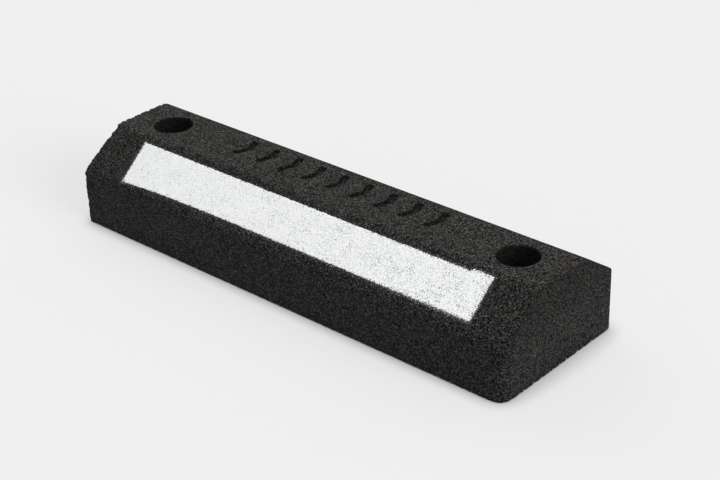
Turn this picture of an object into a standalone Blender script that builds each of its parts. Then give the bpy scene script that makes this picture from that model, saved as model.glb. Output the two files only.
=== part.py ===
"""Rubber speed bump segment, as its separate pieces.

A block pressed from bonded rubber crumb, a painted stripe on its front slope, and a steel washer
moulded in at the foot of each fixing hole, under the bolt's head.

Units are metres. X runs along the block, Y from front to back and Z up. The origin is the middle
of the footprint, on the ground. Run with: blender --background --python part.py
"""

from math import atan2, cos, pi, radians, sin, tan

import bmesh
import bpy
from mathutils import Matrix, Vector

# The block's section: low vertical walls, a slope on each side and a flat top.
LENGTH = 0.500
WIDTH = 0.150
HEIGHT = 0.086
FRONT_WALL_HEIGHT = 0.053
BACK_WALL_HEIGHT = 0.0575
FRONT_SLOPE_RUN = 0.049
BACK_SLOPE_RUN = 0.041

# Rounding of the section's folds and of the block's upright corners.
GROUND_EDGE_RADIUS = 0.001
FRONT_FOLD_RADIUS = 0.012
BACK_FOLD_RADIUS = 0.005
TOP_FOLD_RADIUS = 0.0045
WORN_CORNER_RADIUS = 0.012
SHARP_CORNER_RADIUS = 0.0025
ARC_STEPS = 6

# A fixing hole: a wide counterbore, a seat for the washer, and a narrow way for the bolt.
HOLE_X = 0.205
COUNTERBORE_RADIUS = 0.0185
BOLT_WAY_RADIUS = 0.008
SEAT_HEIGHT = 0.036
WASHER_RADIUS = 0.022
WASHER_HOLE_RADIUS = 0.007
WASHER_THICKNESS = 0.003
WASHER_CHAMFER = 0.0004
ROUND_STEPS = 40

# The painted stripe on the front slope, measured up the slope from the lower fold.
STRIPE_LENGTH = 0.411
STRIPE_MIDDLE_X = 0.0035
STRIPE_LOW = 0.010
STRIPE_WIDTH = 0.0407
STRIPE_THICKNESS = 0.0008
STRIPE_CORNER_RADIUS = 0.001

# A row of shallow chevrons pressed into the flat top.
CHEVRON_COUNT = 9
CHEVRON_PITCH = 0.0285
CHEVRON_MIDDLE = (0.002, 0.011)
CHEVRON_HALF_HEIGHT = 0.0145
CHEVRON_ARM_RUN = 0.0055
CHEVRON_STROKE = 0.0075
CHEVRON_DEPTH = 0.0035

GAP = 0.0003
OVERSHOOT = 0.005
WELD = 0.00001
SHARP_FROM = radians(25)

TOP_MIDDLE_Y = (FRONT_SLOPE_RUN - BACK_SLOPE_RUN) / 2
SLOPE_ANGLE = atan2(HEIGHT - FRONT_WALL_HEIGHT, FRONT_SLOPE_RUN)
SIDES = {"left": -1, "right": 1}


def clear_scene():
    for item in list(bpy.data.objects):
        bpy.data.objects.remove(item, do_unlink=True)


def new_collection(name):
    collection = bpy.data.collections.new(name)
    bpy.context.scene.collection.children.link(collection)
    return collection


def new_material(name, colour, roughness, metallic=0.0):
    """A Principled material of one colour."""
    material = bpy.data.materials.new(name)
    material.use_nodes = True
    shader = material.node_tree.nodes["Principled BSDF"]
    shader.inputs["Base Color"].default_value = (*colour, 1.0)
    shader.inputs["Roughness"].default_value = roughness
    shader.inputs["Metallic"].default_value = metallic
    material.diffuse_color = (*colour, 1.0)
    return material


def smooth_rounds(mesh):
    """Shades rounded stretches smooth, and keeps the edges between faces crisp."""
    mesh.shade_smooth()
    mesh.set_sharp_from_angle(angle=SHARP_FROM)


def solid_mesh(guide):
    """The closed mesh of a guide object as it evaluates, with its caps welded on."""
    bpy.context.view_layer.update()
    evaluated = guide.evaluated_get(bpy.context.evaluated_depsgraph_get())
    mesh = bpy.data.meshes.new_from_object(evaluated)
    solid = bmesh.new()
    solid.from_mesh(mesh)
    bmesh.ops.remove_doubles(solid, verts=solid.verts, dist=WELD)
    solid.to_mesh(mesh)
    solid.free()
    smooth_rounds(mesh)
    return mesh


def solid_from(guide, name, collection):
    """Replaces a guide object with a mesh object of the same shape and place."""
    piece = bpy.data.objects.new(name, solid_mesh(guide))
    piece.matrix_world = guide.matrix_world.copy()
    collection.objects.link(piece)
    bpy.data.objects.remove(guide, do_unlink=True)
    return piece


def rounded_outline(corners):
    """Points of a closed outline. A corner is (x, y, radius), and its arc has ARC_STEPS steps."""
    points = []
    for i, (x, y, radius) in enumerate(corners):
        corner = Vector((x, y))
        if radius == 0:
            points.append(corner)
            continue
        back = (Vector(corners[i - 1][:2]) - corner).normalized()
        ahead = (Vector(corners[(i + 1) % len(corners)][:2]) - corner).normalized()
        half_angle = back.angle(ahead) / 2
        middle = (back + ahead).normalized()
        centre = corner + middle * (radius / sin(half_angle))
        start = corner + back * (radius / tan(half_angle)) - centre
        turn = pi - 2 * half_angle
        if back.x * ahead.y - back.y * ahead.x > 0:
            turn = -turn
        for step in range(ARC_STEPS + 1):
            angle = turn * step / ARC_STEPS
            points.append(centre + Matrix.Rotation(angle, 2) @ start)
    return points


def extruded(name, outline, thickness, location, rotation, collection):
    """A flat outline given a thickness, centred on its own plane, as a closed mesh object."""
    curve = bpy.data.curves.new(name + "_outline", "CURVE")
    curve.dimensions = "2D"
    curve.fill_mode = "BOTH"
    curve.extrude = thickness / 2
    spline = curve.splines.new("POLY")
    spline.points.add(len(outline) - 1)
    for point, (x, y) in zip(spline.points, outline):
        point.co = (x, y, 0.0, 1.0)
    spline.use_cyclic_u = True
    guide = bpy.data.objects.new(name + "_outline", curve)
    guide.location = location
    guide.rotation_euler = rotation
    bpy.context.scene.collection.objects.link(guide)
    return solid_from(guide, name, collection)


def turned(name, profile, closed, location, collection):
    """A profile of (radius, height) points turned about Z, its outer side running downwards."""
    mesh = bpy.data.meshes.new(name + "_profile")
    edges = [(i, i + 1) for i in range(len(profile) - 1)]
    if closed:
        edges.append((len(profile) - 1, 0))
    mesh.from_pydata([(radius, 0, height) for radius, height in profile], edges, [])
    guide = bpy.data.objects.new(name + "_profile", mesh)
    guide.location = location
    bpy.context.scene.collection.objects.link(guide)
    screw = guide.modifiers.new("turn", "SCREW")
    screw.axis = "Z"
    screw.steps = ROUND_STEPS
    screw.render_steps = ROUND_STEPS
    screw.use_merge_vertices = True
    screw.merge_threshold = WELD
    return solid_from(guide, name, collection)


def as_cutter(piece):
    piece.hide_render = True
    piece.display_type = "WIRE"
    return piece


def cut(piece, cutter, operation="DIFFERENCE"):
    boolean = piece.modifiers.new(cutter.name, "BOOLEAN")
    boolean.operation = operation
    boolean.solver = "EXACT"
    boolean.object = as_cutter(cutter)


def block_section():
    """The block's section, seen from its right end: Y across and Z up."""
    half = WIDTH / 2
    return rounded_outline([
        (-half, 0, GROUND_EDGE_RADIUS),
        (half, 0, GROUND_EDGE_RADIUS),
        (half, BACK_WALL_HEIGHT, BACK_FOLD_RADIUS),
        (half - BACK_SLOPE_RUN, HEIGHT, TOP_FOLD_RADIUS),
        (-half + FRONT_SLOPE_RUN, HEIGHT, TOP_FOLD_RADIUS),
        (-half, FRONT_WALL_HEIGHT, FRONT_FOLD_RADIUS),
    ])


def block_plan():
    """The block from above. Its front right corner is the worn, rounder one."""
    x, y = LENGTH / 2, WIDTH / 2
    return rounded_outline([
        (-x, -y, SHARP_CORNER_RADIUS),
        (x, -y, WORN_CORNER_RADIUS),
        (x, y, SHARP_CORNER_RADIUS),
        (-x, y, SHARP_CORNER_RADIUS),
    ])


def chevron_outline():
    """One chevron that points along +X, about its own middle."""
    reach = (CHEVRON_STROKE + CHEVRON_ARM_RUN) / 2
    return [
        (-reach, -CHEVRON_HALF_HEIGHT),
        (-reach + CHEVRON_STROKE, -CHEVRON_HALF_HEIGHT),
        (reach, 0),
        (-reach + CHEVRON_STROKE, CHEVRON_HALF_HEIGHT),
        (-reach, CHEVRON_HALF_HEIGHT),
        (reach - CHEVRON_STROKE, 0),
    ]


def hole_cutter(side, cutters):
    """Everything that one fixing hole takes out of the block, washer seat included."""
    pocket_top = SEAT_HEIGHT + WASHER_THICKNESS + 2 * GAP
    return turned(f"{side}_hole", [
        (0, HEIGHT + OVERSHOOT),
        (COUNTERBORE_RADIUS, HEIGHT + OVERSHOOT),
        (COUNTERBORE_RADIUS, pocket_top),
        (WASHER_RADIUS + GAP, pocket_top),
        (WASHER_RADIUS + GAP, SEAT_HEIGHT),
        (BOLT_WAY_RADIUS, SEAT_HEIGHT),
        (BOLT_WAY_RADIUS, -OVERSHOOT),
        (0, -OVERSHOOT),
    ], False, (SIDES[side] * HOLE_X, TOP_MIDDLE_Y, 0), cutters)


def rubber_block(parts, cutters):
    """The pressed block: its section, trimmed to its plan, with the holes and chevrons taken out."""
    block = extruded("rubber_block", block_section(), LENGTH + 2 * OVERSHOOT, (0, 0, 0),
                     (pi / 2, 0, pi / 2), parts)
    plan = extruded("plan", block_plan(), HEIGHT + 2 * OVERSHOOT, (0, 0, HEIGHT / 2),
                    (0, 0, 0), cutters)
    cut(block, plan, "INTERSECT")
    for side in SIDES:
        cut(block, hole_cutter(side, cutters))
    for i in range(CHEVRON_COUNT):
        offset = (i - (CHEVRON_COUNT - 1) / 2) * CHEVRON_PITCH
        x, y = CHEVRON_MIDDLE[0] + offset, CHEVRON_MIDDLE[1]
        chevron = extruded(f"chevron_{i}", chevron_outline(), 2 * CHEVRON_DEPTH, (x, y, HEIGHT),
                           (0, 0, 0), cutters)
        cut(block, chevron)
    block.data.materials.append(new_material("crumb_rubber", (0.028, 0.028, 0.027), 0.9))


def white_stripe(parts):
    """The painted stripe, a thin skin that lies on the front slope."""
    x, y = STRIPE_LENGTH / 2, STRIPE_WIDTH / 2
    corners = [(-x, -y), (x, -y), (x, y), (-x, y)]
    outline = rounded_outline([(*corner, STRIPE_CORNER_RADIUS) for corner in corners])
    up_slope = Vector((0, cos(SLOPE_ANGLE), sin(SLOPE_ANGLE)))
    out_of_slope = Vector((0, -sin(SLOPE_ANGLE), cos(SLOPE_ANGLE)))
    fold = Vector((STRIPE_MIDDLE_X, -WIDTH / 2, FRONT_WALL_HEIGHT))
    middle = fold + up_slope * (STRIPE_LOW + y) + out_of_slope * (GAP + STRIPE_THICKNESS / 2)
    stripe = extruded("white_stripe", outline, STRIPE_THICKNESS, middle,
                      (SLOPE_ANGLE, 0, 0), parts)
    stripe.data.materials.append(new_material("road_paint", (0.80, 0.81, 0.79), 0.75))


def washer(side, steel, parts):
    """A flat steel washer in the seat at the foot of the counterbore, held by the rubber's lip."""
    half, chamfer = WASHER_THICKNESS / 2, WASHER_CHAMFER
    piece = turned(f"{side}_washer", [
        (WASHER_HOLE_RADIUS, -half + chamfer),
        (WASHER_HOLE_RADIUS, half - chamfer),
        (WASHER_HOLE_RADIUS + chamfer, half),
        (WASHER_RADIUS - chamfer, half),
        (WASHER_RADIUS, half - chamfer),
        (WASHER_RADIUS, -half + chamfer),
        (WASHER_RADIUS - chamfer, -half),
        (WASHER_HOLE_RADIUS + chamfer, -half),
    ], True, (SIDES[side] * HOLE_X, TOP_MIDDLE_Y, SEAT_HEIGHT + GAP + half), parts)
    piece.data.materials.append(steel)


def build():
    clear_scene()
    parts = new_collection("speed_bump")
    cutters = new_collection("cutters")
    rubber_block(parts, cutters)
    white_stripe(parts)
    steel = new_material("zinc_steel", (0.55, 0.56, 0.57), 0.4, 1.0)
    for side in SIDES:
        washer(side, steel, parts)


build()
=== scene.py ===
"""The looks of the rubber speed bump segment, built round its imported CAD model.

Units are metres, in the CAD model's own frame: X along the block, Y from front to back, Z up.
"""

import math

import bmesh
import bpy
import numpy as np
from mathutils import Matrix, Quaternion, Vector


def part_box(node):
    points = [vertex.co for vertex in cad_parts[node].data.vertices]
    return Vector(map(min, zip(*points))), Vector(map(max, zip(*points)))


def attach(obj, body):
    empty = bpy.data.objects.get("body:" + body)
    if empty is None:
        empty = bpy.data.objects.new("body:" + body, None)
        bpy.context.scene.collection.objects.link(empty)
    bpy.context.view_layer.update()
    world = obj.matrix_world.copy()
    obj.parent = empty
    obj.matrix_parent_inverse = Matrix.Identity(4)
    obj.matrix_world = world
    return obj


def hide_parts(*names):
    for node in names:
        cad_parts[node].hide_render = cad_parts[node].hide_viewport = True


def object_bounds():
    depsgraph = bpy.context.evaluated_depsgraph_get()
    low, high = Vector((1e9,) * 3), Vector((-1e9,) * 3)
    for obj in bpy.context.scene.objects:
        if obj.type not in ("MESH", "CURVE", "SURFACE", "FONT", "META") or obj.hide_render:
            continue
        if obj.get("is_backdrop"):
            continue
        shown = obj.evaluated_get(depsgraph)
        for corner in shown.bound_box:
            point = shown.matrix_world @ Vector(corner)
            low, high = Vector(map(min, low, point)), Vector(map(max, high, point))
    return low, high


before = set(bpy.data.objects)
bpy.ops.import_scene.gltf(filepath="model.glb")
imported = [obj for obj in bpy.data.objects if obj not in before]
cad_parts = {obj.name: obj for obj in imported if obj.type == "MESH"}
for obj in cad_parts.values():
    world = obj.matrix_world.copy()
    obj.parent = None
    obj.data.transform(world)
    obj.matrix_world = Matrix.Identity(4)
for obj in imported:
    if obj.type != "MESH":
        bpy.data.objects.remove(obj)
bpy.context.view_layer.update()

MM = 0.001

# A face looks up when its normal's Z is over this.
UPWARD = 0.99

# The camera: where it aims, its direction and distance from there, and how near and far it sees.
AIM = Vector((0.0308, 0.0051, 0.040))
VIEW_AZIMUTH, VIEW_ELEVATION, VIEW_ROLL = 42.55, 28.85, -2.04
VIEW_DISTANCE = 1.444
LENS, SENSOR = 81.5, 36.0
NEAREST, FARTHEST = 0.05, 50

# The block's skin: how closely it is sampled, how close the CAD mesh's corners lie to be welded into
# one, and how many rounds of smoothing round its folds.
SKIN_STEP = 1.0 * MM
WELD = 0.001 * MM
EASING = 2

# The worn right end gets more rounds of smoothing: over its last stretch, above this height, and in
# front of this line. Each limit fades in over a run of its own.
END_EASING = 80
END_LENGTH, END_RUN = 16 * MM, 8 * MM
END_HEIGHT, END_HEIGHT_RUN = 45 * MM, 8 * MM
END_LINE, END_LINE_RUN = 20 * MM, 15 * MM

# Granules, as cells per metre: the lumps that stand out of the crumb, and the finer grains that each
# have a tone and a facet of their own. And how far the facets tilt.
LUMPS = 1 / (2.2 * MM)
GRAINS = 1 / (0.92 * MM)
FACET_TILT = 1.25

# Relief of the crumb: the lumps' round crowns, with the share of a cell that their slopes take, their
# uneven levels, and the pits, with the shares of the lumps that are lost and that are at least loose.
CROWN, CROWN_SLOPE = 0.1 * MM, 0.22
LEVEL = 0.08 * MM
PIT, LOST, LOOSE = 0.5 * MM, 0.02, 0.06

# Chips along the block's left end and its lowest edges: how deep and long they are, between which
# levels of the noise they grow, and from where to where they fade, measured from the end and the foot.
CHIP, CHIP_SIZE = 1.2 * MM, 5 * MM
CHIP_START, CHIP_FULL = 0.46, 0.66
LEFT_CHIPPED = (0.4 * MM, 2.5 * MM)
FOOT_CHIPPED = (0.5 * MM, 3 * MM)

# The fixing holes: the counterbore's radius, how much of the relief their smoother walls keep, how far
# outside them it is all back, the painted shade of their walls, how much of the grains' own tones the
# walls
# keep, and where that painted shade ends: this far outside the rims, and under this height.
HOLE_RADIUS = 18.5 * MM
HOLE_RELIEF, HOLE_MARGIN = 0.35, 2 * MM
HOLE_SHADE, HOLE_VARIETY = 0.14, 0.25
HOLE_RIM, UNDERSIDE = 0.3 * MM, 0.6 * MM

# The pressed marks get painted shade: the painted shade of their walls and of their floors, how deep
# under the top a mark's floor can lie, how far round the floors the painted shade reaches, the depths
# over which the walls' painted shade begins, the heights over the floor in which it gives way to the
# floor's, and how far under the floor the marks end.
MARK_WALL_SHADE, MARK_FLOOR_SHADE = 0.4, 0.65
MARK_DEPTHS, MARK_MARGIN = (1 * MM, 8 * MM), 1 * MM
WALL_FADE = (1.1 * MM, 0.2 * MM)
FLOOR_FADE = (0.3 * MM, 0.9 * MM)
UNDER_FLOOR = 2 * MM

# Painted light and shade by height: how dark the slopes and the walls are painted against the flat top,
# and by what the ends' tones are multiplied at their foot and at their top, painted lighter and darker.
SLOPE_PAINTED_SHADE, WALL_PAINTED_SHADE = 0.74, 0.87
END_FOOT_PAINTED_LIGHT, END_TOP_PAINTED_LIGHT = 1.07, 0.96

# Where this painted light and shade changes: depths under the top, heights on the walls and on the ends,
# and how far in from the end faces the ends' painted light and their dust begin and are full.
TOP_FADE = (3 * MM, 0.3 * MM)
WALL_LIGHT_FADE = (40 * MM, 56 * MM)
END_FADE = (30 * MM, 70 * MM)
END_SKIN = (3 * MM, 1 * MM)

# How brownish with dust the rubber is, at the foot, at the top and on the ends, between these heights,
# and the size and strength of the patches in it.
DUST_FADE = (40 * MM, 70 * MM)
FOOT_DUST, TOP_DUST, END_DUST = 0.15, 0.85, 0.7
DUST_PATCH, DUST_CONTRAST = 9 * MM, 2.4

# Rubber: the painted shade in the gaps between grains, with the share of a cell that their edges take, a
# fully lit grain without and with dust, the rare grains of another rubber, how matte it all is, and the
# size and height of the texture on a grain.
GAP_SHADE = (0.002, 0.002, 0.002)
GAP_WIDTH = 0.16
CLEAN_GRAIN, DUSTY_GRAIN = (0.146, 0.1535, 0.156), (0.164, 0.1545, 0.1415)
BROWN_GRAIN, GREY_GRAIN = (0.075, 0.055, 0.035), (0.09, 0.10, 0.10)
RARE_FROM, RARE_TO = 0.992, 0.995
RUBBER_ROUGHNESS, RUBBER_GLOSS = 0.7, 0.07
GRAIN_TEXTURE, GRAIN_BUMP = 0.5 * MM, 0.3 * MM

# The spread of the grains' tones: a slow rise for most, and a steeper one for the lightest few.
MOST_GRAINS, MOST_TONE = (0.18, 0.86), 0.55
LIGHT_GRAINS, LIGHT_TONE = (0.84, 0.96), 0.42

# The sprayed stripe. Its film stands proud of the crumb where paint lies, and dips under it elsewhere.
FILM_STEP = 0.7 * MM
FILM_MARGIN = 4 * MM
FILM_RISE, FILM_SINK, FILM_EDGE = 0.3 * MM, 0.6 * MM, 0.4 * MM
FILM_DEPTH = 1.6 * MM
FILM_RELIEF = 0.7

# Where the spray ends, against the CAD stripe's own edges: how its ends lean, the sag at its lower
# left corner, the step at its upper right one, and how ragged its ends and sides are.
LEFT_SHIFT, LEFT_LEAN = -0.5 * MM, -0.12
RIGHT_SHIFT, RIGHT_LEAN = 0.3 * MM, -0.04
SAG, SAG_REACH = 4.7 * MM, 45 * MM
STEP_UP, STEP_START, STEP_RUN = 2.6 * MM, 181 * MM, 3 * MM
LEFT_RAGGED, RIGHT_RAGGED, SIDE_RAGGED = 3.0 * MM, 1.2 * MM, 3.0 * MM
RAGGED_SIZE = 1.6 * MM

# How broken the spray's edge is away from its ends, how far the left end's broken stretch reaches, and
# from where to where it breaks up to the right, as shares of the stripe's half length.
CALM_EDGE = 0.3
LEFT_BROKEN = 14 * MM
RIGHT_BROKEN = (0.2, 0.85)

# The mist of paint round the stripe: how far it reaches, how much of it lies along the upper side, how
# strong its haze is, how many grains are white dots, and how far under the slope it stops.
MIST_REACH, MIST_ABOVE = 4 * MM, 0.5
HAZE, DOTS = 0.6, 0.2
MIST_DEPTHS = (8 * MM, 4 * MM)
MIST, DOT = (0.17, 0.175, 0.21), (0.55, 0.56, 0.58)

# Paint: its colour at the left and the right end, where it is thin and where it is missing, how matte
# it is, and the size and height of its texture.
PAINT_LEFT, PAINT_RIGHT = (0.775, 0.79, 0.77), (0.875, 0.88, 0.88)
THIN_PAINT, BARE = (0.42, 0.43, 0.46), (0.07, 0.075, 0.10)
PAINT_ROUGHNESS, PAINT_GLOSS = 0.8, 0.2
PAINT_TEXTURE, PAINT_BUMP = 0.6 * MM, 0.2 * MM

# Specks that the paint missed, as cells per metre: the share of cells that have none, the largest
# speck's radius and its soft edge as shares of a cell, the random number from which a speck is quite
# bare and how faint the faintest is, and how small the specks are at the left end. Their size also
# varies in patches, between these levels of the noise.
SPECKS = 1 / (0.78 * MM)
SPECKLESS, SPECK_RADIUS = 0.14, 0.58
SPECK_EDGE = (-0.06, 0.08)
BAREST_FROM, FAINTEST = 0.8, 0.05
LEFT_SPECKS = 0.65
SPECK_PATCH, SPECK_CONTRAST = 14 * MM, 0.2
PATCH_LEVELS = (0.35, 0.65)

# Flecks of thinner paint, as cells per metre, with their strength at the left and the right end, and
# the bare grains along the stripe's broken edge.
FLECKS = 1 / (0.8 * MM)
LEFT_FLECKS, RIGHT_FLECKS = 0.35, 0.6
BARE_SHARE, BARE_REACH, BARE_DEPTH = 0.45, 2.5 * MM, 0.9

# Zinc plate: its cloudy colours and roughness, its dirt, the sizes of its clouds, dirt and turning
# rings, the levels of the noise between which clouds and dirt grow, and the height of its texture.
ZINC_DARK, ZINC_LIGHT = (0.20, 0.205, 0.21), (0.33, 0.335, 0.34)
ZINC_SMOOTHEST, ZINC_ROUGHEST = 0.42, 0.6
DIRT, DIRTIEST, DIRTY_METAL = (0.03, 0.03, 0.028), 0.8, 0.1
CLOUD_SIZE, DIRT_SIZE, RING_SIZE = 5 * MM, 2.5 * MM, 0.35 * MM
CLOUD_LEVELS, DIRT_LEVELS = (0.3, 0.7), (0.46, 0.66)
ZINC_BUMP = 0.1 * MM

# The studio: its floor, just clear of the block, its backdrop, the light from all round, and the
# lights, each with a direction, an apparent width in degrees and a strength.
FLOOR_HALF_SIZE, FLOOR_GAP = 15, 0.2 * MM
FLOOR, BACKDROP = (0.68, 0.678, 0.676), (0.83, 0.83, 0.84)
FLOOR_ROUGHNESS, FLOOR_GLOSS = 0.9, 0.1
AROUND = 0.16
LIGHTS = {
    "overhead": ((0, 0, 1), 30, 2.93),
    "right": ((1, 0, 0.45), 36, 0.9),
    "back": ((0, 1, 0.6), 50, 0.15),
    "left": ((-1, 0.4, 0.6), 50, 0.32),
}


# ---- nodes, for materials and geometry alike ----

def add(tree, kind, settings=None, inputs=None):
    """A new node. Inputs are filled by name or number, with plain values or other nodes' sockets."""
    made = tree.nodes.new(kind)
    for name, value in (settings or {}).items():
        setattr(made, name, value)
    for name, value in (inputs or {}).items():
        if isinstance(value, bpy.types.NodeSocket):
            tree.links.new(value, made.inputs[name])
        else:
            made.inputs[name].default_value = value
    return made


def calc(tree, operation, a, b=0.0, c=0.0):
    """One sum on numbers."""
    settings = {"operation": operation}
    return add(tree, "ShaderNodeMath", settings, {0: a, 1: b, 2: c}).outputs[0]


def total(tree, number, *others):
    """Numbers added up."""
    for other in others:
        number = calc(tree, "ADD", number, other)
    return number


def product(tree, number, *others):
    """Numbers multiplied together."""
    for other in others:
        number = calc(tree, "MULTIPLY", number, other)
    return number


def between(tree, factor, a, b):
    """The number that lies at factor of the way from a to b."""
    return calc(tree, "MULTIPLY_ADD", factor, calc(tree, "SUBTRACT", b, a), a)


def length(tree, x, y):
    """How long a flat vector is."""
    return calc(tree, "SQRT", calc(tree, "MULTIPLY_ADD", y, y, calc(tree, "MULTIPLY", x, x)))


def vector_calc(tree, operation, a, b=(0.0, 0.0, 0.0), output="Vector"):
    """One sum on vectors."""
    settings = {"operation": operation}
    return add(tree, "ShaderNodeVectorMath", settings, {0: a, 1: b}).outputs[output]


def scaled(tree, vector, scale):
    """A vector times a number."""
    settings = {"operation": "SCALE"}
    return add(tree, "ShaderNodeVectorMath", settings, {0: vector, "Scale": scale}).outputs[0]


def split(tree, vector):
    """The three numbers of a vector or a colour."""
    return add(tree, "ShaderNodeSeparateXYZ", None, {0: vector}).outputs


def remap(tree, value, low, high, to_low=0.0, to_high=1.0, smooth=True):
    """value from low..high to to_low..to_high, clamped."""
    settings = {"interpolation_type": "SMOOTHSTEP" if smooth else "LINEAR"}
    inputs = {"Value": value, "From Min": low, "From Max": high,
              "To Min": to_low, "To Max": to_high}
    return add(tree, "ShaderNodeMapRange", settings, inputs).outputs["Result"]


def noise(tree, where, size, detail=2.0, roughness=0.5):
    """Soft noise around 0.5, with features of a given size."""
    inputs = {"Vector": where, "Scale": 1 / size, "Detail": detail, "Roughness": roughness}
    return add(tree, "ShaderNodeTexNoise", None, inputs).outputs[0]


def cells(tree, where, scale, feature="F1"):
    """Random cells, one for each granule."""
    return add(tree, "ShaderNodeTexVoronoi", {"feature": feature}, {"Vector": where, "Scale": scale})


def blend(tree, factor, a, b):
    """A colour between a and b."""
    made = add(tree, "ShaderNodeMix", {"data_type": "RGBA"}, {"Factor": factor})
    for socket, value in zip([s for s in made.inputs if s.type == "RGBA"], (a, b)):
        if isinstance(value, bpy.types.NodeSocket):
            tree.links.new(value, socket)
        else:
            socket.default_value = (*value, 1.0)
    return next(s for s in made.outputs if s.type == "RGBA")


# ---- parts that the materials share ----

def new_material(name):
    """A new material with its node tree and its shader."""
    material = bpy.data.materials.new(name)
    material.use_nodes = True
    tree = material.node_tree
    return material, tree, tree.nodes["Principled BSDF"]


def smooth_position(tree):
    """The place on the smooth skin that each point had before the relief moved it."""
    return add(tree, "ShaderNodeAttribute", {"attribute_name": "rest"}).outputs["Vector"]


def bumped(tree, height, distance, strength):
    """The normal of a texture too fine for geometry, where a height of 1 is this distance."""
    inputs = {"Height": height, "Distance": distance, "Strength": strength}
    return add(tree, "ShaderNodeBump", None, inputs).outputs[0]


# ---- the surface of pressed rubber crumb ----

def hole_distance(tree, rest):
    """How far a point is from the nearer fixing hole's axis."""
    low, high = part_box("right_washer")
    axis = (low + high) / 2
    x, y, _ = split(tree, rest)
    from_x = calc(tree, "SUBTRACT", calc(tree, "ABSOLUTE", x), axis.x)
    from_y = calc(tree, "SUBTRACT", y, axis.y)
    return length(tree, from_x, from_y)


def chips(tree, rest):
    """Granules broken away along the left end and along the edges at the ground, never proud."""
    x, _, z = split(tree, rest)
    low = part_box("rubber_block")[0]
    left = remap(tree, x, low.x + LEFT_CHIPPED[0], low.x + LEFT_CHIPPED[1], 1.0, 0.0)
    foot = remap(tree, z, low.z + FOOT_CHIPPED[0], low.z + FOOT_CHIPPED[1], 1.0, 0.0)
    broken = remap(tree, noise(tree, rest, CHIP_SIZE, detail=1.0), CHIP_START, CHIP_FULL, 0.0, -CHIP)
    return calc(tree, "MULTIPLY", calc(tree, "MAXIMUM", left, foot), broken)


def crumb_height(tree, rest):
    """How far the crumb's surface stands out from the mould's face, in metres."""
    edge = cells(tree, rest, LUMPS, "DISTANCE_TO_EDGE").outputs["Distance"]
    level, lost, _ = split(tree, cells(tree, rest, LUMPS).outputs["Color"])
    height = calc(tree, "MULTIPLY_ADD", remap(tree, edge, 0.0, CROWN_SLOPE), CROWN, -CROWN)
    height = calc(tree, "MULTIPLY_ADD", level, LEVEL, height)
    height = calc(tree, "ADD", height, remap(tree, lost, LOST, LOOSE, -PIT, 0.0))
    kept = remap(tree, hole_distance(tree, rest), HOLE_RADIUS, HOLE_RADIUS + HOLE_MARGIN,
                 HOLE_RELIEF, 1.0)
    return calc(tree, "MULTIPLY_ADD", height, kept, chips(tree, rest))


def painted_mark_shade(tree, rest):
    """Painted shade in the pressed marks: 1 on the open top, less on their walls and floors."""
    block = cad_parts["rubber_block"].data
    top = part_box("rubber_block")[1].z
    shallow, deep = MARK_DEPTHS
    floors = [face for face in block.polygons
              if face.normal.z > UPWARD and top - deep < face.center.z < top - shallow]
    corners = [block.vertices[i].co for face in floors for i in face.vertices]
    floor_level = corners[0].z
    x, y, z = split(tree, rest)
    wall = remap(tree, z, top - WALL_FADE[0], top - WALL_FADE[1], MARK_WALL_SHADE, 1.0)
    on_floor = remap(tree, z, floor_level + FLOOR_FADE[0], floor_level + FLOOR_FADE[1], 1.0, 0.0)
    tone = between(tree, on_floor, wall, MARK_FLOOR_SHADE)
    outside = calc(tree, "LESS_THAN", z, floor_level - UNDER_FLOOR)
    for here, marks in ((x, [corner.x for corner in corners]), (y, [corner.y for corner in corners])):
        before = calc(tree, "LESS_THAN", here, min(marks) - MARK_MARGIN)
        after = calc(tree, "GREATER_THAN", here, max(marks) + MARK_MARGIN)
        outside = total(tree, outside, before, after)
    return between(tree, calc(tree, "MINIMUM", outside, 1.0), tone, 1.0)


def at_ends(tree, rest):
    """1 on the block's two end faces, 0 between them."""
    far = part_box("rubber_block")[1].x
    x = split(tree, rest)[0]
    return remap(tree, calc(tree, "ABSOLUTE", x), far - END_SKIN[0], far - END_SKIN[1])


def painted_light_by_height(tree, rest):
    """Painted light and shade by height: the flat top painted lightest, the slopes darkest, the walls
    between, and the ends lighter at their foot.
    """
    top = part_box("rubber_block")[1].z
    z = split(tree, rest)[2]
    # Painted light on the flat top and painted shade on the slopes, a little less shade on the walls.
    dust_and_top_light = remap(tree, z, top - TOP_FADE[0], top - TOP_FADE[1], 0.0, 1 - SLOPE_PAINTED_SHADE)
    painted_wall_light = remap(tree, z, *WALL_LIGHT_FADE, WALL_PAINTED_SHADE - SLOPE_PAINTED_SHADE, 0.0)
    tone = total(tree, dust_and_top_light, painted_wall_light, SLOPE_PAINTED_SHADE)
    # Painted light on the ends, lighter at their foot than at their top.
    end = remap(tree, z, *END_FADE, END_FOOT_PAINTED_LIGHT - 1, END_TOP_PAINTED_LIGHT - 1)
    return calc(tree, "MULTIPLY", tone, calc(tree, "MULTIPLY_ADD", at_ends(tree, rest), end, 1.0))


def cast(tree, rest):
    """The colour of a fully lit granule: brownish where dust lies, cooler and greener on the walls."""
    dust_and_top_light = remap(tree, split(tree, rest)[2], *DUST_FADE, FOOT_DUST, TOP_DUST)
    dust_and_top_light = calc(tree, "MAXIMUM", dust_and_top_light, product(tree, at_ends(tree, rest), END_DUST))
    patches = calc(tree, "SUBTRACT", noise(tree, rest, DUST_PATCH, detail=3.0, roughness=0.6), 0.5)
    dusty = calc(tree, "MULTIPLY_ADD", patches, DUST_CONTRAST, dust_and_top_light)
    return blend(tree, dusty, CLEAN_GRAIN, DUSTY_GRAIN)


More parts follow.
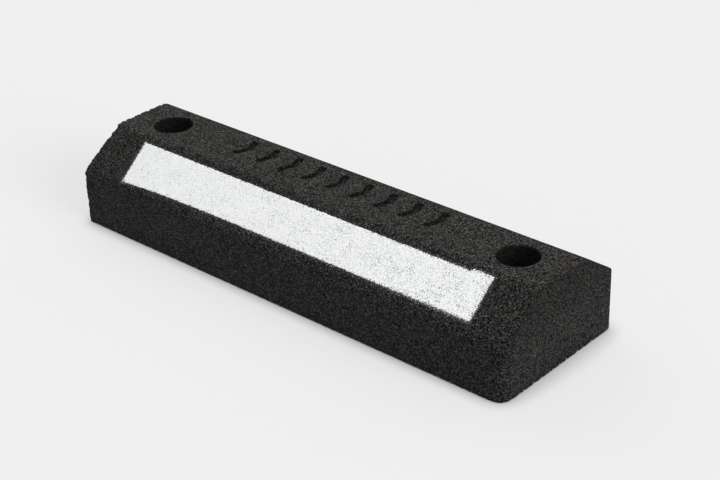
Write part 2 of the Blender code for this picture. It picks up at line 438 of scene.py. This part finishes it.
def relief(name, offset, direction=None):
    """Geometry nodes that keep the smooth position as 'rest' and move each point out by offset."""
    tree = bpy.data.node_groups.new(name, "GeometryNodeTree")
    tree.interface.new_socket("Geometry", in_out="INPUT", socket_type="NodeSocketGeometry")
    tree.interface.new_socket("Geometry", in_out="OUTPUT", socket_type="NodeSocketGeometry")
    source = add(tree, "NodeGroupInput").outputs[0]
    position = add(tree, "GeometryNodeInputPosition").outputs[0]
    normal = direction or add(tree, "GeometryNodeInputNormal").outputs[0]
    kept = add(tree, "GeometryNodeStoreNamedAttribute", {"data_type": "FLOAT_VECTOR"},
               {"Geometry": source, "Name": "rest", "Value": position}).outputs[0]
    move = scaled(tree, normal, offset(tree, position))
    moved = add(tree, "GeometryNodeSetPosition", None, {"Geometry": kept, "Offset": move}).outputs[0]
    add(tree, "NodeGroupOutput", None, {0: moved})
    return tree


def evaluated_copy(guide):
    """A mesh with the guide's modifiers applied."""
    graph = bpy.context.evaluated_depsgraph_get()
    return bpy.data.meshes.new_from_object(guide.evaluated_get(graph), depsgraph=graph)


def skin_of(node):
    """A dense, even, closed mesh over a CAD node."""
    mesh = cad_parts[node].data.copy()
    solid = bmesh.new()
    solid.from_mesh(mesh)
    bmesh.ops.remove_doubles(solid, verts=solid.verts, dist=WELD)
    solid.to_mesh(mesh)
    solid.free()
    guide = bpy.data.objects.new(node + "_guide", mesh)
    bpy.context.scene.collection.objects.link(guide)
    remesh = guide.modifiers.new("even", "REMESH")
    remesh.mode = "VOXEL"
    remesh.voxel_size = SKIN_STEP * 1
    skin = evaluated_copy(guide)
    bpy.data.objects.remove(guide)
    return skin


def ease(mesh):
    """The smoothing that rounds the block's folds a little, and its right end's edges a lot."""
    guide = bpy.data.objects.new("easing", mesh)
    bpy.context.scene.collection.objects.link(guide)
    everywhere = guide.modifiers.new("folds", "SMOOTH")
    everywhere.iterations = EASING
    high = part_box("rubber_block")[1]
    end = guide.vertex_groups.new(name="end")
    points = np.empty(len(mesh.vertices) * 3, np.float32)
    mesh.vertices.foreach_get("co", points)
    points = points.reshape(-1, 3)
    near = np.clip((points[:, 0] - (high.x - END_LENGTH)) / END_RUN, 0, 1)
    raised = np.clip((points[:, 2] - END_HEIGHT) / END_HEIGHT_RUN, 0, 1)
    forward = np.clip((END_LINE - points[:, 1]) / END_LINE_RUN, 0, 1)
    weights = near * raised * forward
    for i in np.nonzero(weights > 0)[0]:
        end.add([int(i)], float(weights[i]), "REPLACE")
    worn = guide.modifiers.new("end", "SMOOTH")
    worn.iterations = END_EASING
    worn.vertex_group = "end"
    eased = evaluated_copy(guide)
    bpy.data.objects.remove(guide)
    return eased


def show(name, mesh, body, node):
    """A new piece that stands for a CAD node."""
    piece = bpy.data.objects.new(name, mesh)
    bpy.context.scene.collection.objects.link(piece)
    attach(piece, body)
    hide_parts(node)
    return piece


def grain_tone_and_painted_light(tree, rest, tone, crown, clear_of_hole_shade):
    """How light each grain is: its own tone, with painted shade in the holes and the pressed marks, and
    painted light and shade by height.
    """
    most = remap(tree, tone, *MOST_GRAINS, 0.0, MOST_TONE, smooth=False)
    lightest = remap(tree, tone, *LIGHT_GRAINS, 0.0, LIGHT_TONE)
    shine = product(tree, crown, total(tree, most, lightest))
    # Painted shade on the holes' walls, then painted shade in the pressed marks and painted light by
    # height.
    shine = between(tree, clear_of_hole_shade, HOLE_SHADE, shine)
    return product(tree, painted_mark_shade(tree, rest), painted_light_by_height(tree, rest), shine)


def rubber_material(place):
    """Matte black rubber granules: each has its own tone and tilt, with painted shade in the gaps
    between them.
    """
    material, tree, shader = new_material("crumb_rubber")
    rest = smooth_position(tree)
    grain = cells(tree, rest, GRAINS).outputs["Color"]
    tone, pick, hue = split(tree, grain)
    edge = cells(tree, rest, GRAINS, "DISTANCE_TO_EDGE").outputs["Distance"]
    crown = remap(tree, edge, 0.0, GAP_WIDTH)
    # Painted shade in the holes: 1 clear of them and on the underside, lower on their walls.
    clear_of_hole_shade = remap(tree, hole_distance(tree, rest), HOLE_RADIUS, HOLE_RADIUS + HOLE_RIM,
                     HOLE_VARIETY, 1.0)
    underside = calc(tree, "LESS_THAN", split(tree, rest)[2], UNDERSIDE)
    clear_of_hole_shade = calc(tree, "MAXIMUM", clear_of_hole_shade, underside)

    shine = grain_tone_and_painted_light(tree, rest, tone, crown, clear_of_hole_shade)
    # Painted shade and light: the colour runs from near black at low shine to the grain's fully lit
    # colour.
    colour = blend(tree, shine, GAP_SHADE, cast(tree, rest))
    rare = blend(tree, hue, BROWN_GRAIN, GREY_GRAIN)
    colour = blend(tree, remap(tree, pick, RARE_FROM, RARE_TO), colour, rare)
    colour = overspray(tree, rest, place, colour, crown, hue)
    tree.links.new(colour, shader.inputs["Base Color"])
    shader.inputs["Roughness"].default_value = RUBBER_ROUGHNESS
    shader.inputs["Specular IOR Level"].default_value = RUBBER_GLOSS

    fine = noise(tree, rest, GRAIN_TEXTURE, detail=3.0, roughness=0.6)
    bump = bumped(tree, calc(tree, "MULTIPLY_ADD", fine, 0.4, crown), GRAIN_BUMP, strength=0.5)
    centred = vector_calc(tree, "SUBTRACT", grain, (0.5, 0.5, 0.5))
    tilt = scaled(tree, centred, product(tree, clear_of_hole_shade, FACET_TILT))
    facet = vector_calc(tree, "ADD", bump, tilt)
    tree.links.new(vector_calc(tree, "NORMALIZE", facet), shader.inputs["Normal"])
    return material


def overspray(tree, rest, place, colour, crown, chance):
    """Paint mist on the granules round the stripe, with white dots, most of it along its lower side."""
    cover, u, v = stripe_cover(tree, rest, place)
    offset = vector_calc(tree, "SUBTRACT", rest, place.middle)
    height = vector_calc(tree, "DOT_PRODUCT", offset, place.out, "Value")
    on_slope = remap(tree, height, -MIST_DEPTHS[0], -MIST_DEPTHS[1])
    near = product(tree, remap(tree, cover, -MIST_REACH, 0.0), on_slope)
    share = remap(tree, v, -place.half_width, 0.0, 1.0, MIST_ABOVE)
    mist = product(tree, near, near, product(tree, share, looseness(tree, u, place)))
    colour = blend(tree, product(tree, mist, crown, HAZE), colour, MIST)
    dot = calc(tree, "LESS_THAN", chance, product(tree, mist, DOTS))
    return blend(tree, product(tree, dot, crown), colour, DOT)


def rubber_block(place):
    """The block as a skin of crumb with real granules."""
    mesh = ease(skin_of("rubber_block"))
    mesh.materials.clear()
    mesh.materials.append(rubber_material(place))
    mesh.shade_smooth()
    block = show("rubber_block_crumb", mesh, "root", "rubber_block")
    granules = block.modifiers.new("granules", "NODES")
    granules.node_group = relief("crumb_relief", crumb_height)


# ---- the sprayed stripe ----

class StripePlace:
    """Where the CAD stripe lies: its middle on the slope, its directions and its half sizes."""

    def __init__(self, node):
        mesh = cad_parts[node].data
        low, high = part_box(node)
        face = max(mesh.polygons, key=lambda polygon: polygon.area).normal
        self.out = face if face.z > 0 else -face
        self.along = Vector((1, 0, 0))
        self.up = self.out.cross(self.along)
        middle = (low + high) / 2
        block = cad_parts["rubber_block"]
        self.middle = block.closest_point_on_mesh(middle)[1]
        across = [(vertex.co - middle).dot(self.up) for vertex in mesh.vertices]
        self.half_length = (high.x - low.x) / 2
        self.half_width = max(across)


def stripe_cover(tree, rest, place):
    """How far inside the ragged sprayed area a point is, below zero outside it, and its place along
    and up the slope from the stripe's middle."""
    offset = vector_calc(tree, "SUBTRACT", rest, place.middle)
    u = vector_calc(tree, "DOT_PRODUCT", offset, place.along, "Value")
    v = vector_calc(tree, "DOT_PRODUCT", offset, place.up, "Value")
    left = calc(tree, "MULTIPLY_ADD", v, LEFT_LEAN, -place.half_length + LEFT_SHIFT)
    right = calc(tree, "MULTIPLY_ADD", v, RIGHT_LEAN, place.half_length + RIGHT_SHIFT)
    fade = calc(tree, "MULTIPLY_ADD", u, -1 / SAG_REACH, -place.half_length / SAG_REACH)
    low = calc(tree, "MULTIPLY_ADD", calc(tree, "EXPONENT", fade), -SAG, -place.half_width)
    high = remap(tree, u, STEP_START, STEP_START + STEP_RUN,
                 place.half_width, place.half_width + STEP_UP)
    ragged = calc(tree, "SUBTRACT", noise(tree, rest, RAGGED_SIZE, detail=3.0, roughness=0.7), 0.5)
    edges = (
        (calc(tree, "SUBTRACT", u, left), LEFT_RAGGED),
        (calc(tree, "SUBTRACT", right, u), RIGHT_RAGGED),
        (calc(tree, "SUBTRACT", v, low), SIDE_RAGGED),
        (calc(tree, "SUBTRACT", high, v), SIDE_RAGGED),
    )
    cover = 1.0
    for inside, amount in edges:
        cover = calc(tree, "MINIMUM", cover, calc(tree, "MULTIPLY_ADD", ragged, amount, inside))
    return cover, u, v


def looseness(tree, u, place):
    """How broken the spray's edge is: a little in the middle, more at the left end and to the right."""
    start = -place.half_length
    from_right, to_right = (share * place.half_length for share in RIGHT_BROKEN)
    at_left = remap(tree, u, start, start + LEFT_BROKEN, 1.0, CALM_EDGE)
    return calc(tree, "MAXIMUM", at_left, remap(tree, u, from_right, to_right, CALM_EDGE, 1.0))


def film_lift(tree, rest, place):
    """The paint film's height over the crumb: raised where paint lies, sunk where there is none."""
    cover = stripe_cover(tree, rest, place)[0]
    return remap(tree, cover, -FILM_EDGE, FILM_EDGE, -FILM_SINK, FILM_RISE, smooth=False)


def missed_specks(tree, rest, along):
    """Round specks that the paint missed: many sizes and depths, in patches, larger to the right."""
    spots = cells(tree, rest, SPECKS)
    chance, depth, _ = split(tree, spots.outputs["Color"])
    patch = remap(tree, noise(tree, rest, SPECK_PATCH), *PATCH_LEVELS,
                  1 - SPECK_CONTRAST, 1 + SPECK_CONTRAST)
    worn = product(tree, calc(tree, "MULTIPLY_ADD", along, 1 - LEFT_SPECKS, LEFT_SPECKS), patch)
    size = remap(tree, chance, SPECKLESS, 1.0, 0.0, SPECK_RADIUS, smooth=False)
    radius = product(tree, size, worn)
    inside = calc(tree, "SUBTRACT", radius, spots.outputs["Distance"])
    bareness = remap(tree, depth, 0.0, BAREST_FROM, FAINTEST, 1.0)
    return product(tree, remap(tree, inside, *SPECK_EDGE), bareness)


def paint_material(place):
    """Matte white paint, a little greyer to the left, with thin flecks and bare specks that grow to
    the right."""
    material, tree, shader = new_material("road_paint")
    rest = smooth_position(tree)
    x = split(tree, rest)[0]
    along = remap(tree, x, -place.half_length, place.half_length, smooth=False)
    fleck = split(tree, cells(tree, rest, FLECKS).outputs["Color"])[2]
    thin = product(tree, fleck, fleck, remap(tree, along, 0, 1, LEFT_FLECKS, RIGHT_FLECKS))
    cover, u, _ = stripe_cover(tree, rest, place)
    edge = remap(tree, cover, 0.0, BARE_REACH, BARE_SHARE, 0.0)
    bare = product(tree, edge, looseness(tree, u, place))
    missed = calc(tree, "LESS_THAN", split(tree, cells(tree, rest, GRAINS).outputs["Color"])[0], bare)
    speck = calc(tree, "MAXIMUM", missed_specks(tree, rest, along), product(tree, missed, BARE_DEPTH))
    colour = blend(tree, along, PAINT_LEFT, PAINT_RIGHT)
    colour = blend(tree, thin, colour, THIN_PAINT)
    colour = blend(tree, speck, colour, BARE)
    tree.links.new(colour, shader.inputs["Base Color"])
    shader.inputs["Roughness"].default_value = PAINT_ROUGHNESS
    shader.inputs["Specular IOR Level"].default_value = PAINT_GLOSS
    fine = product(tree, noise(tree, rest, PAINT_TEXTURE), 0.4)
    bump = bumped(tree, calc(tree, "SUBTRACT", fine, speck), PAINT_BUMP, strength=0.3)
    tree.links.new(bump, shader.inputs["Normal"])
    return material


def film_mesh(place):
    """A thin closed sheet on the slope, whose upper side's points are marked as raised."""
    half_u, half_v = place.half_length + FILM_MARGIN, place.half_width + FILM_MARGIN
    step = FILM_STEP * 1
    columns, rows = round(2 * half_u / step), round(2 * half_v / step)
    upper = [place.middle + place.along * u + place.up * v
             for v in np.linspace(-half_v, half_v, rows + 1)
             for u in np.linspace(-half_u, half_u, columns + 1)]
    index = np.arange(len(upper)).reshape(rows + 1, columns + 1)

    # The rim runs once round the sheet, with a point of the flat underside below each of its points.
    rim = [*index[0, :-1], *index[:-1, -1], *index[-1, :0:-1], *index[:0:-1, 0]]
    lower = [upper[i] - FILM_DEPTH * place.out for i in rim]
    under = range(len(upper), len(upper) + len(rim))

    corners = (index[:-1, :-1], index[:-1, 1:], index[1:, 1:], index[1:, :-1])
    top = np.stack(corners, axis=-1).reshape(-1, 4).tolist()
    sides = [(rim[i], rim[i - 1], under[i - 1], under[i]) for i in range(len(rim))]
    mesh = bpy.data.meshes.new("white_stripe_film")
    mesh.from_pydata(upper + lower, [], [*top, *sides, tuple(reversed(under))])
    raised = mesh.attributes.new("raised", "FLOAT", "POINT")
    raised.data.foreach_set("value", [1.0] * len(upper) + [0.0] * len(lower))
    mesh.shade_smooth()
    return mesh


def white_stripe(place):
    """The stripe as a film of paint that follows the crumb's own relief."""
    mesh = film_mesh(place)
    mesh.materials.append(paint_material(place))
    film = show("white_stripe_film", mesh, "root", "white_stripe")

    def film_height(tree, rest):
        top_only = add(tree, "GeometryNodeInputNamedAttribute", None, {"Name": "raised"}).outputs[0]
        height = calc(tree, "MULTIPLY_ADD", crumb_height(tree, rest), FILM_RELIEF,
                      film_lift(tree, rest, place))
        return calc(tree, "MULTIPLY", height, top_only)

    granules = film.modifiers.new("granules", "NODES")
    granules.node_group = relief("film_relief", film_height, place.out)


# ---- the washers at the feet of the holes ----

def zinc_material(name, axis):
    """Dull zinc plate: cloudy, faintly ringed by the tool that turned it, with dark dirt in patches."""
    material, tree, shader = new_material(name)
    point = add(tree, "ShaderNodeTexCoord").outputs["Object"]
    x, y, _ = split(tree, vector_calc(tree, "SUBTRACT", point, axis))
    outward = add(tree, "ShaderNodeCombineXYZ", None, {0: length(tree, x, y)}).outputs[0]
    rings = noise(tree, outward, RING_SIZE)
    cloud = noise(tree, point, CLOUD_SIZE, detail=4.0, roughness=0.6)
    dirt = remap(tree, noise(tree, point, DIRT_SIZE, detail=5.0, roughness=0.7), *DIRT_LEVELS,
                 0.0, DIRTIEST)
    zinc = blend(tree, remap(tree, cloud, *CLOUD_LEVELS), ZINC_DARK, ZINC_LIGHT)
    metallic = remap(tree, dirt, 0.0, DIRTIEST, 1.0, DIRTY_METAL)
    roughness = remap(tree, cloud, *CLOUD_LEVELS, ZINC_SMOOTHEST, ZINC_ROUGHEST)
    bumps = calc(tree, "MULTIPLY_ADD", dirt, 0.8, product(tree, rings, 0.3))
    tree.links.new(blend(tree, dirt, zinc, DIRT), shader.inputs["Base Color"])
    tree.links.new(metallic, shader.inputs["Metallic"])
    tree.links.new(roughness, shader.inputs["Roughness"])
    tree.links.new(bumped(tree, bumps, ZINC_BUMP, strength=0.4), shader.inputs["Normal"])
    return material


def washer(node):
    """A CAD washer with its own zinc, ringed round its own axis."""
    low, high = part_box(node)
    material = zinc_material(node + "_zinc", (low + high) / 2)
    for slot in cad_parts[node].material_slots:
        slot.material = material


# ---- the studio ----

def floor():
    """A pale matte floor, just under everything that stands on it."""
    mesh = bpy.data.meshes.new("floor")
    solid = bmesh.new()
    bmesh.ops.create_grid(solid, x_segments=1, y_segments=1, size=FLOOR_HALF_SIZE)
    solid.to_mesh(mesh)
    solid.free()
    ground = bpy.data.objects.new("floor", mesh)
    bpy.context.scene.collection.objects.link(ground)
    ground.location.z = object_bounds()[0].z - FLOOR_GAP
    material, _, shader = new_material("floor")
    shader.inputs["Base Color"].default_value = (*FLOOR, 1)
    shader.inputs["Roughness"].default_value = FLOOR_ROUGHNESS
    shader.inputs["Specular IOR Level"].default_value = FLOOR_GLOSS
    mesh.materials.append(material)
    ground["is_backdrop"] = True


def soft_sun(name, direction, width, strength):
    """Even light from one direction, as wide as a studio soft box looks, in degrees."""
    lamp = bpy.data.lights.new(name, "SUN")
    lamp.angle = math.radians(width)
    lamp.energy = strength
    lit = bpy.data.objects.new(name, lamp)
    lit.rotation_euler = Vector(direction).to_track_quat("Z", "Y").to_euler()
    bpy.context.scene.collection.objects.link(lit)


def studio():
    """The lights, and a pale backdrop that only the camera sees."""
    scene = bpy.context.scene
    scene.view_settings.view_transform = "Standard"
    world = bpy.data.worlds.new("studio")
    world.use_nodes = True
    tree = world.node_tree
    around = tree.nodes["Background"]
    around.inputs["Color"].default_value = (1, 1, 1, 1)
    around.inputs["Strength"].default_value = AROUND
    backdrop = add(tree, "ShaderNodeBackground", None, {"Color": (*BACKDROP, 1)})
    seen = add(tree, "ShaderNodeLightPath").outputs["Is Camera Ray"]
    mix = add(tree, "ShaderNodeMixShader", None, {0: seen, 1: around.outputs[0], 2: backdrop.outputs[0]})
    tree.links.new(mix.outputs[0], tree.nodes["World Output"].inputs["Surface"])
    scene.world = world
    for name, (direction, width, strength) in LIGHTS.items():
        soft_sun(name, direction, width, strength)


def camera():
    """The camera: in front of the block, to its right and above it."""
    azimuth, elevation = math.radians(VIEW_AZIMUTH), math.radians(VIEW_ELEVATION)
    back = Vector((math.sin(azimuth) * math.cos(elevation),
                   -math.cos(azimuth) * math.cos(elevation), math.sin(elevation)))
    data = bpy.data.cameras.new("camera")
    data.lens, data.sensor_width = LENS, SENSOR
    data.clip_start, data.clip_end = NEAREST, FARTHEST
    eye = bpy.data.objects.new("camera", data)
    eye.location = AIM + back * VIEW_DISTANCE
    eye.rotation_mode = "QUATERNION"
    roll = Quaternion((0, 0, 1), math.radians(VIEW_ROLL))
    eye.rotation_quaternion = back.to_track_quat("Z", "Y") @ roll
    bpy.context.scene.collection.objects.link(eye)
    bpy.context.scene.camera = eye


stripe_place = StripePlace("white_stripe")
rubber_block(stripe_place)
white_stripe(stripe_place)
for node in ("left_washer", "right_washer"):
    washer(node)
floor()
studio()
camera()
